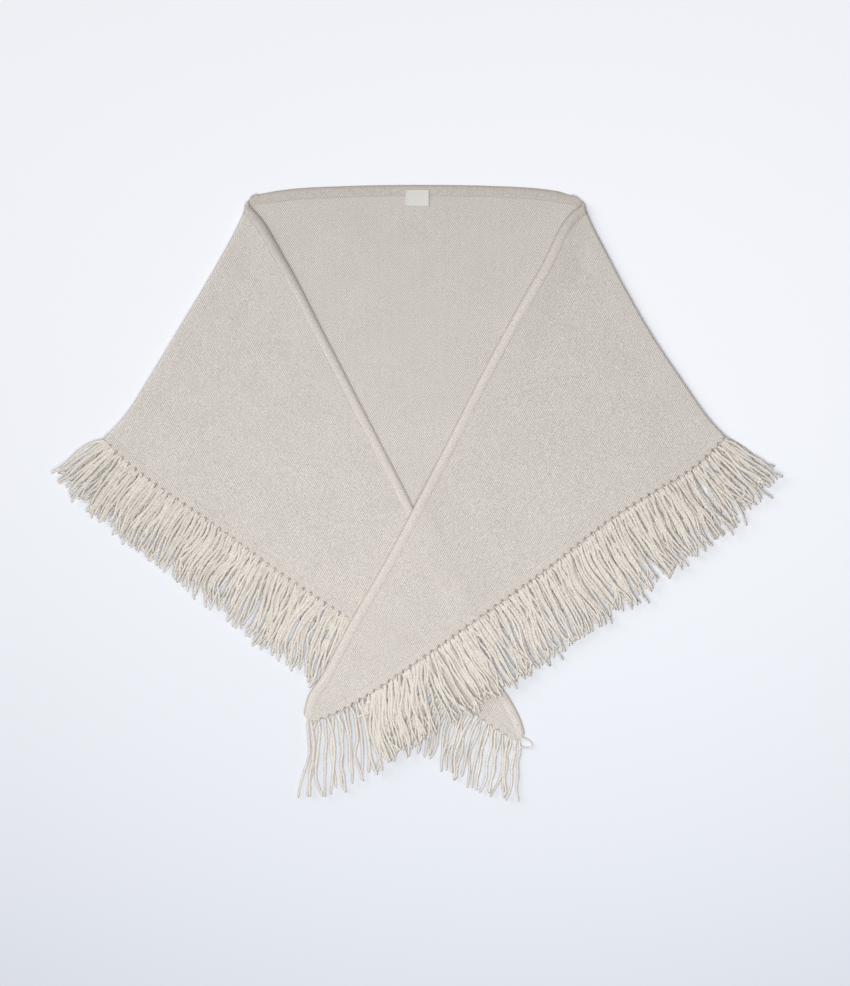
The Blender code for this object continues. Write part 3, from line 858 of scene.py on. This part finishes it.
def scallop(knots):
    """1 at a knot and 0 at a notch, in round bows, from a count of knots with a notch at each whole."""
    return np.abs(np.sin(pi * knots))[:, None] ** 0.6


def hem_wall(knots, cloth):
    """Thickness of a hem: proud of the knit past its seam, puffed at the knots, rounded at the edge."""
    bow = scallop(knots)
    proud = cloth.knit + cloth.hem_rise * ease(HEM_ROWS / 0.4) * (1 - 0.5 * ease((HEM_ROWS - 0.7) / 0.3))
    near = ease((HEM_ROWS - 0.5) / 0.4)
    edge = np.sqrt(np.clip(1 - (1 - np.clip((1.02 - HEM_ROWS) / 0.16, 0, 1)) ** 2, 0.1, 1))
    wall = with_turn((proud + near * (cloth.puff * bow - cloth.slack * (1 - bow))) * edge)
    wall[:LYING] = np.minimum(wall[:LYING], cloth.knit)
    return wall


def front_hem(lay):
    """The turned hem of a front, with a scallop over each knot of its fringe."""
    side, cloth = lay.side, lay.cloth
    shares = front_shares(side, lay.yarn.pitch / HEM_FINE)
    hem = widths(side, shares, cloth)[1]
    plan = across_front(side, shares, cloth, 1 - hem + hem * HEM_ROWS)
    knots = (shares - HEM_ENDS) / (1 - 2 * HEM_ENDS) * knot_count(side.hem, lay.yarn)
    reach = scallop(knots) * (cloth.scallop + cloth.notch) - cloth.notch
    pull = reach * ease((HEM_ROWS - 0.35) / 0.65)
    plan = plan + side.hem.across(shares)[:, None] * pull[..., None]
    inner, stitch = laid(lay, plan, shares, cloth.knit)
    maps = {"knit": stitch, "hem": pair(with_turn(knots)[:, None], (1 - HEM_ROWS) * cloth.hem_width)}
    return shell(side.key + "_front_hem", inner, hem_wall(knots, cloth), maps, "face side at hem",
                 side.key + "_front")


def make_front(lay):
    """All of one front: its knit, band and hem, and the linking stitches along both seams."""
    key, wale = lay.side.key, lay.cloth.wale
    knit, knit_inner, _ = front_knit(lay)
    band, band_inner, band_outer = front_band(lay)
    hem, hem_inner, hem_outer = front_hem(lay)
    start = TURNED - 2
    seam = stitches(key + "_neck_linking", band_outer[start:, -1], wale, 1.8 * MM, 0.5 * MM, 0.5,
                    "ribbed band")
    tack = stitches(key + "_hem_linking", hem_outer[start:-3, 1], 1.3 * wale, 1.6 * MM, 0.35 * MM, 0.3,
                    "face side")
    declare(knit, knit_inner, "folded", seam, tack)
    declare(band, band_inner, "folded")
    declare(hem, hem_inner, "folded")


# Back

def return_end(side, down, cloth):
    """Plan points where a front's return ends, at shares down its fold."""
    down = np.asarray(down)
    return side.fold.at(down) + side.turning(down[:, None]) * (cloth.turn_under + SEAM)


def band_end(side, cloth):
    """Share of the fold line that the band covers."""
    return np.linalg.norm(into_cloth(side, np.zeros(1)) * cloth.band_width) / side.fold.length


def back_band(cloth):
    """The doubled band behind the neck, between the returns of the two front bands."""
    along = np.linspace(0, 1, int(TOP.length / cloth.wale * FINE))
    outer = TOP.at(along)
    inner = outer + TOP.across(along) * cloth.back_band_width
    for index, blend, side in ((0, 1 - ease(along / 0.04), LEFT), (-1, ease((along - 0.96) / 0.04), RIGHT)):
        ends = return_end(side, (0, band_end(side, cloth)), cloth)
        outer = outer + (ends[0] - outer[index]) * blend[:, None]
        inner = inner + (ends[1] - inner[index]) * blend[:, None]
    plan = outer[:, None] + (inner - outer)[:, None] * BAND_WIDTHS[:, None]
    stitch = pair(*TOP.coordinates(plan))
    return shell("back_neck_binding", at_height(plan, 0), band_wall(stitch, cloth), {"knit": stitch},
                 "ribbed band", "back_neck_band")


def back_edges(x, cloth, band_line):
    """Upper and lower edge of the back's knit at each x: band or returns above, hems below."""
    left, right = (return_end(side, np.linspace(band_end(side, cloth), 1, 60), cloth)
                   for side in (LEFT, RIGHT))
    upper = np.concatenate([left[::-1], band_line[2:-2], right])
    lower = np.array([left[-1], np.array(APEX) * MM, right[-1]])
    return np.interp(x, *upper.T), np.interp(x, *lower.T)


def back_knit(cloth, band_line):
    """The flat middle of the triangle: straight columns from its upper edge to its two hems."""
    grain = cloth.grain * 1.3
    left, right = (return_end(side, (1.0, band_end(side, cloth)), cloth)[:, 0] for side in (LEFT, RIGHT))
    stops = (*left, APEX[0] * MM, *right[::-1])
    parts = [np.linspace(first, last, int((last - first) / grain))[:-1]
             for first, last in zip(stops, stops[1:])]
    x = np.append(np.concatenate(parts), stops[-1])
    top, low = back_edges(x, cloth, band_line)
    rows = np.linspace(0, 1, int((top.max() - low.min()) / grain))
    plan = pair(x[:, None], top[:, None] + (low - top)[:, None] * rows)
    level = ease(rows / 0.05) * ease((1 - rows) / 0.05)
    thickness = cloth.knit + ripple(plan, cloth.ripple, 0.6) * level
    return shell("back_middle_knit", at_height(plan, 0), thickness, {"knit": plan}, "reverse side",
                 "back_panel")


def make_back(scene):
    """The back's knit and band, with the linking stitches between them."""
    cloth = scene.scarf_cloth
    band, band_base, band_top = back_band(cloth)
    knit, knit_base, _ = back_knit(cloth, band_base[::FINE, -1, :2])
    seam = stitches("back_neck_linking", band_top[:, -1], cloth.wale, 1.8 * MM, 0.5 * MM, 0.5,
                    "ribbed band")
    declare(knit, knit_base, "laid", seam)
    declare(band, band_base, "laid")


# Label

LABEL_SIZE = (25 * MM, 17.5 * MM)
LABEL_THICK = 0.8 * MM
LABEL_CENTRE = (1.5 * MM, 319.5 * MM)
LABEL_STEP = 4 * MM             # width over which the label steps down from the band to the knit
LABEL_FOLD = 1.2 * MM           # width of the folded border along its two short ends


def make_label(scene):
    """The bare label: a tape bent down from the band to the knit, a little raised where its ends fold."""
    cloth = scene.scarf_cloth
    across, down = np.linspace(-0.5, 0.5, 53)[:, None], np.linspace(-0.5, 0.5, 37)
    plan = pair(across * LABEL_SIZE[0] + LABEL_CENTRE[0], down * LABEL_SIZE[1] + LABEL_CENTRE[1])
    seam = TOP.at(0.5)[1] - cloth.back_band_width
    on_band = ease(1 + (plan[..., 1] - seam) / LABEL_STEP)
    inner = at_height(plan, cloth.knit + (cloth.band - cloth.knit) * on_band + cloth.gap)
    from_end, from_side = (0.5 - np.abs(across)) * LABEL_SIZE[0], (0.5 - np.abs(down)) * LABEL_SIZE[1]
    raised = 0.25 * MM * (1 - ease((from_end - LABEL_FOLD) / (0.6 * MM)))
    edge = ease(np.minimum(from_end, from_side) / (0.5 * MM) + 0.35)
    piece, _, outer = shell("bare_neck_label", inner, (LABEL_THICK + raised) * edge, {"knit": plan},
                            "woven tape", "neck_label")
    declare(piece, inner, "laid")
    for key, column in (("left", 3), ("right", -4)):
        stitches(f"label_{key}_stitches", outer[column, 2:-2], 1.5 * MM, 0.9 * MM, 0.3 * MM, 0.0,
                 "woven tape")


# Fringe

FRONT_DETAIL = (40, 7)          # points along a strand's middle line and round it, on a front
BACK_DETAIL = (24, 5)
STRAND_PRESS = 0.66             # height of a strand's section as a share of its width
LOBES = 0.07                    # how far a strand's two plies swell out, as a share of its radius
CROWD = 5                       # strands of one knot where the fringe is crowded, with two elsewhere
SWAYS = ((0.9, 0.6, 1.0), (0.8, 0.9, 1.7), (0.7, 2.0, 3.4))     # share of the wave, least and most turns
FRINGES = (                     # side, whether it is the back's, strands, and share that is crowded
    (LEFT, False, LEFT_STRANDS, 0.78),
    (RIGHT, False, RIGHT_STRANDS, 0.86),
    (LEFT, True, BACK_LEFT_STRANDS, 1),
    (RIGHT, True, BACK_RIGHT_STRANDS, 1),
)


def open_to_sky(plan):
    """1 where nothing lies over the left front's fringe, and 0 under the right front."""
    past_neck, past_hem = RIGHT.neck.beyond(plan), RIGHT.hem.beyond(plan)
    return 1 - ease(past_neck / (6 * MM) + 1) * (1 - ease(past_hem / (9 * MM)))


def strand_lines(lay, line, strands, crowded, count_steps, draw):
    """Middle lines of a fringe's strands, strands by points.

    A knot gives two strands, or five where the fringe is crowded, fanned out a little. A strand
    starts inside the hem and about square to it, and soon turns to the way that it lies. That way
    comes from the table, from the lock that its knot belongs to, and from chance. Its heading then
    waves, with its lock and by itself, and its last quarter curls aside. Walking along the heading
    gives the plan. Strands lie in two tiers by turns, the upper one on what the lower one covers.
    """
    yarn = lay.yarn
    count = knot_count(line, yarn)
    middles = (np.arange(count) + 0.5) / count
    each = np.where(middles < crowded, CROWD, 2)
    knot = np.repeat(np.arange(count), each)
    total = len(knot)
    own = np.arange(total)
    place = own - np.repeat(np.cumsum(each) - each, each) - (each[knot] - 1) / 2
    shares = HEM_ENDS + middles[knot] * (1 - 2 * HEM_ENDS)
    hem_way, leaves = line.heading(shares), line.across(shares)
    locks = np.cumsum(draw.random(count) < 0.4)[knot]
    places, headings, lengths = np.array(strands, dtype=float).T
    lies = np.radians(np.interp(shares, places, headings))
    sense = np.sign((square_to(aimed(lies)) * hem_way).sum(axis=-1))
    fan = place * sense * np.where(each == CROWD, 0.5, 1.0)[knot]
    lies = lies + (draw.normal(0, yarn.lean, count + 1)[locks] + draw.normal(0, 0.4 * yarn.lean, total)
                   + fan * 0.035)
    root = np.arctan2(leaves[:, 1], leaves[:, 0]) + fan * 0.22 + draw.normal(0, 0.16, total)
    swing = (root - lies + pi) % tau - pi
    t = np.linspace(0, 1, count_steps)

    def waves(sway, index):
        """Waves of chance amount, length and start, one for each index."""
        size = draw.normal(0, sway[0] * yarn.wave, count + total)[index][:, None]
        turns = draw.uniform(*sway[1:], count + total)[index][:, None]
        start = draw.random(count + total)[index][:, None]
        return size * np.sin(tau * (turns * t + start))

    swaying = sum(waves(sway, index) for sway, index in zip(SWAYS, (locks, own, own)))
    curl = draw.normal(0, yarn.curl, total) * np.where(draw.random(total) < 0.09, 3.2, 1.0)
    bend = draw.uniform(0.06, 0.17, total)[:, None]
    heading = (lies[:, None] + swing[:, None] * np.exp(-t / bend) + swaying * ease(t / 0.2)
               + curl[:, None] * ease((t - 0.7) / 0.3))
    length = np.interp(shares, places, lengths) * MM * 1.02 + yarn.root
    length = length * (1 + draw.normal(0, 0.045, total)) * np.where(draw.random(total) < 0.05, 0.85, 1.0)
    steps = (length / (count_steps - 1))[:, None, None] * aimed(heading)
    apart = np.where(each == CROWD, 1 / CROWD, 0.4)[knot] * yarn.pitch
    aside = hem_way * (place * apart)[:, None]
    start = line.at(shares) + 0.58 * aside - leaves * yarn.root
    out = t * length[:, None] - yarn.root
    plan = (start[:, None] + np.cumsum(steps, axis=1) - steps[:, :1]
            + 0.42 * aside[:, None] * ease(out / (11 * MM))[..., None])

    lowest = yarn.thick / 2 * (STRAND_PRESS + 0.1)
    base = lay.lifted(line.at(shares), shares, 1.0) + lay.cloth.knit * 0.5
    tier = (own % 2 + draw.uniform(-0.15, 0.35, total))[:, None] * (0 if lay.on_floor else yarn.pile)
    ends = yarn.lift * draw.uniform(0.3, 1, total)[:, None] * ease((t - 0.35) / 0.65)
    rise = (tier * (0.6 + 0.4 * np.sin(pi * t)) + ends) * open_to_sky(plan)
    settled = ease(out / (9 * MM))
    height = base[:, None] * (1 - settled) + (np.maximum(lay.under(plan), 0) + lowest + rise) * settled
    return at_height(plan, np.maximum(height, lowest))


def make_fringe(lay, strands, crowded, seed):
    """One fringe: tubes of two plies round its strands' middle lines, pressed thin in the knots."""
    side, yarn = lay.side, lay.yarn
    key, line, (count_steps, sides) = (side.key + "_front", side.hem, FRONT_DETAIL)
    if lay.on_floor:
        key, line, (count_steps, sides) = ("back_" + side.key, side.back_hem, BACK_DETAIL)
    draw = np.random.default_rng(seed)
    lines = strand_lines(lay, line, strands, crowded, count_steps, draw)
    chance = draw.random(len(lines))
    t = np.linspace(0, 1, count_steps)
    pressed = 0.6 + 0.4 * ease((t - 0.05) / 0.07)
    cut = 1 - 0.26 * ease((t - 0.45) / 0.5) - 0.25 * (t >= 1)
    radius = yarn.thick / 2 * pressed * cut * (0.94 + 0.12 * draw.random(len(lines)))[:, None]
    tubes(key + "_yarn", lines, radius, LOBES, yarn.twist, sides, "two-ply yarn", chance, STRAND_PRESS,
          [key + "_fringe"])


def make_tip_loop(yarn):
    """The small loop of yarn left standing at the left tip."""
    x, y, height = np.array(TIP_LOOP).T
    plan = Line(np.stack([x, y], axis=1), samples=48)
    heights = np.interp(plan.walked / plan.length, np.linspace(0, 1, len(height)), height * MM)
    radius = np.full((1, len(heights)), yarn.thick * 0.27)
    tubes("tip_loop", at_height(plan.points, heights)[None], radius, LOBES, yarn.twist, 8, "two-ply yarn")


# Stage

CAMERA_AT = (9.7 * MM, 1.1 * MM)    # plan point under the middle of the view
VIEW_TALL = 1065 * MM               # height of the view at the cloth
SENSOR = 36                         # long side of the camera's sensor in millimetres
FLOOR_SIZE = 9.0
FLOOR_DROP = 0.15 * MM
LAMPS = (                           # name, place, what it faces, and diameter, in metres
    ("key", (-4.1, 2.2, 2.4), (0, 0, 0), 3.2),
    ("fill", (-0.03, -0.5, 1.35), (-0.03, -0.5, 0), 1.1),
    ("top", (0.05, -0.1, 2.45), (0.05, -0.1, 0), 0.5),
)


def softbox(name, place, aim, spread, power):
    """A round area light that faces a point."""
    lamp = bpy.data.lights.new(name, "AREA")
    lamp.shape = "DISK"
    lamp.size = spread
    lamp.energy = power
    made = bpy.data.objects.new(name, lamp)
    made.location = place
    made.visible_camera = False
    way = np.array(aim) - np.array(place)
    made.rotation_euler = (atan2(hypot(way[0], way[1]), -way[2]), 0, atan2(way[1], way[0]) - pi / 2)
    bpy.context.scene.collection.objects.link(made)


def make_stage(scene):
    """The floor, the lights and the camera, straight above."""
    stage = scene.scarf_stage
    corners = FLOOR_SIZE / 2 * np.array([(-1, -1), (1, -1), (1, 1), (-1, 1)])
    add_mesh("floor", at_height(corners, -FLOOR_DROP), [np.arange(4)[None]], {}, "floor")
    world = bpy.data.worlds.new("studio")
    world.use_nodes = True
    ground = world.node_tree.nodes["Background"]
    ground.inputs["Color"].default_value = (0.97, 0.98, 1.0, 1)
    ground.inputs["Strength"].default_value = stage.ambient
    scene.world = world
    for name, place, aim, spread in LAMPS:
        softbox(name, place, aim, spread, getattr(stage, name))
    lens = bpy.data.cameras.new("overhead")
    lens.lens = stage.lens
    lens.sensor_width = SENSOR
    lens.clip_end = 50
    camera = bpy.data.objects.new("overhead", lens)
    camera.location = (*CAMERA_AT, VIEW_TALL * stage.lens / SENSOR)
    scene.collection.objects.link(camera)
    scene.camera = camera
    scene.view_settings.view_transform = "Standard"


# Operators

class SCARF_OT_stage(Operator):
    """Lay the floor, and put up the lights and the camera"""

    bl_idname = "scarf.stage"
    bl_label = "Stage"

    def execute(self, context):
        make_stage(context.scene)
        return {"FINISHED"}


class SCARF_OT_back(Operator):
    """Knit the middle of the triangle and its neck band"""

    bl_idname = "scarf.back"
    bl_label = "Back"

    def execute(self, context):
        make_back(context.scene)
        return {"FINISHED"}


class SCARF_OT_fronts(Operator):
    """Knit both folded ends with their neck bands and hems"""

    bl_idname = "scarf.fronts"
    bl_label = "Fronts"

    def execute(self, context):
        for side in (LEFT, RIGHT):
            make_front(Lay(context.scene, side))
        return {"FINISHED"}


class SCARF_OT_label(Operator):
    """Sew the bare label over the back neck seam"""

    bl_idname = "scarf.label"
    bl_label = "Label"

    def execute(self, context):
        make_label(context.scene)
        return {"FINISHED"}


class SCARF_OT_fringe(Operator):
    """Hook the fringe into all four hems"""

    bl_idname = "scarf.fringe"
    bl_label = "Fringe"

    def execute(self, context):
        yarn = context.scene.scarf_yarn
        for number, (side, at_back, strands, crowded) in enumerate(FRINGES):
            make_fringe(Lay(context.scene, side, at_back), strands, crowded, yarn.seed + number)
        make_tip_loop(yarn)
        return {"FINISHED"}


OPERATORS = (SCARF_OT_stage, SCARF_OT_back, SCARF_OT_fronts, SCARF_OT_label, SCARF_OT_fringe)


class SCARF_PT_panel(Panel):
    """Lists the scarf's pieces and sizes"""

    bl_label = "Triangle Scarf"
    bl_idname = "SCARF_PT_panel"
    bl_space_type = "VIEW_3D"
    bl_region_type = "UI"
    bl_category = "Scarf"

    def draw(self, context):
        for operator in OPERATORS:
            self.layout.operator(operator.bl_idname)
        for key, group in GROUPS.items():
            box = self.layout.box()
            box.label(text=group.__doc__)
            for name in group.__annotations__:
                box.prop(getattr(context.scene, key), name)


CLASSES = (*GROUPS.values(), *OPERATORS, SCARF_PT_panel)


def register():
    for made in CLASSES:
        bpy.utils.register_class(made)
    for key, group in GROUPS.items():
        setattr(bpy.types.Scene, key, PointerProperty(type=group))


def unregister():
    for key in GROUPS:
        delattr(bpy.types.Scene, key)
    for made in reversed(CLASSES):
        bpy.utils.unregister_class(made)


def main():
    """Build every piece in order."""
    register()
    bpy.ops.scarf.stage()
    bpy.ops.scarf.back()
    bpy.ops.scarf.fronts()
    bpy.ops.scarf.label()
    bpy.ops.scarf.fringe()


if __name__ == "__main__":
    main()
